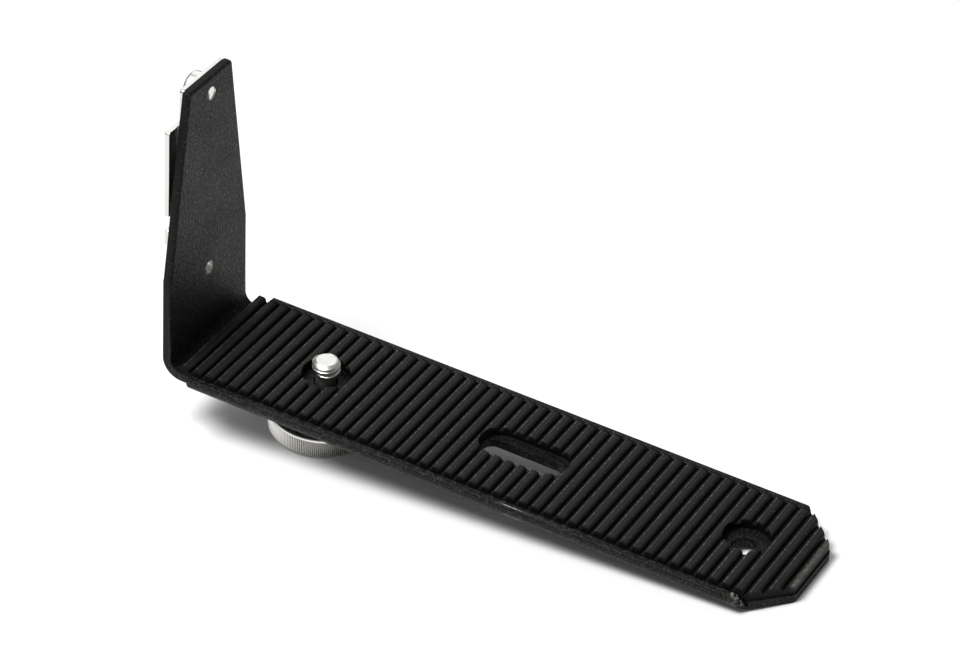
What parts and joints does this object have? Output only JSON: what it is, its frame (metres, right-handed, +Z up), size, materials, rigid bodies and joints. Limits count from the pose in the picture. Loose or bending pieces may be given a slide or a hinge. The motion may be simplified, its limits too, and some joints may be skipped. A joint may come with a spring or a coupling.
{
  "type": "camera flash bracket",
  "caption": "L-shaped flat bracket with a ribbed rubber pad, a captive camera screw with a knurled knob, a slot, a tapped hole and a slide plate for a flash.",
  "frame": {"origin": "on the camera screw's axis, at the level of the rubber pad's top face", "axes": "+X along the arm towards its tip, +Z up along the camera screw, the upright stands at -X"},
  "size_m": [0.1578, 0.0368, 0.0812],
  "materials": {
    "black_paint": "black wrinkle paint",
    "black_rubber": "matt ribbed rubber",
    "adhesive": "thin black foam film",
    "bright_screw": "bright zinc plate",
    "bright_knob": "bright nickel plate, knurled",
    "washer": "black fibre",
    "bright_slide": "bright nickel plate"
  },
  "bodies": {
    "bracket": {"bracket_plate": "black_paint", "rubber_pad": "black_rubber", "pad_adhesive": "adhesive", "slide_strip": "bright_slide", "slide_plate": "bright_slide", "slide_rivets": "bright_slide", "lower_slide_screw": "bright_screw", "upper_slide_screw": "bright_screw"},
    "washer": {"friction_washer": "washer"},
    "screw": {"camera_screw": "bright_screw", "screw_knob": "bright_knob"}
  },
  "joints": [
    {"name": "screw_lift", "type": "slide", "parent": "bracket", "child": "washer", "axis": [0, 0, 1], "range_m": [-0.0022, 0]},
    {"name": "screw_spin", "type": "hinge", "parent": "washer", "child": "screw", "pos_m": [0, 0, 0], "axis": [0, 0, 1], "continuous": true}
  ]
}
